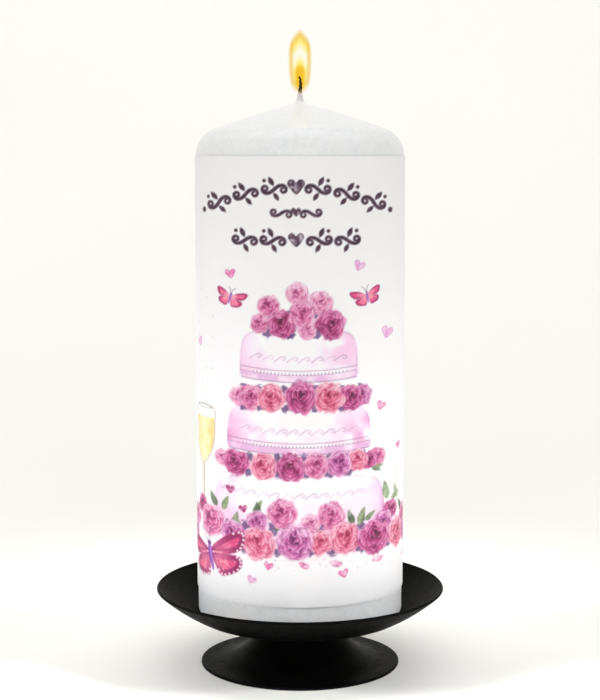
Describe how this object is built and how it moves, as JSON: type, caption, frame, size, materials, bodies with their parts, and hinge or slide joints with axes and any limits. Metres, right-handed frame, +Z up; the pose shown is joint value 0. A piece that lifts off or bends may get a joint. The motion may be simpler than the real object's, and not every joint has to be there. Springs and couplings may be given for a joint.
{
  "type": "unity candle",
  "caption": "Printed pillar candle with a rounded shoulder and shallow cone top, standing on the spike of a round black metal plate with a trumpet foot.",
  "frame": {"origin": "on the candle's axis, on the surface that the foot rests on", "axes": "+Z up along the candle; -Y is the side that the printed picture faces; +Y is the side of the wrap's overlap"},
  "size_m": [0.112, 0.112, 0.228],
  "materials": {
    "black_powder_coat": "satin",
    "zinc_plated_steel": "satin",
    "wax": "satin",
    "wick_cotton": "matte",
    "printed_sheet": "satin",
    "clear_tape": "satin",
    "flame": "gloss"
  },
  "bodies": {
    "stand": {"dish": "black_powder_coat", "foot": "black_powder_coat", "pricket": "zinc_plated_steel", "washer": "zinc_plated_steel", "nut": "zinc_plated_steel"},
    "candle": {"wax_pillar": "wax", "wick": "wick_cotton", "printed_wrap": "printed_sheet", "seam_tape": "clear_tape"}
  },
  "joints": [
    {"name": "candle_lift", "type": "slide", "parent": "stand", "child": "candle", "axis": [0, 0, 1], "range_m": [0, 0.04]}
  ]
}
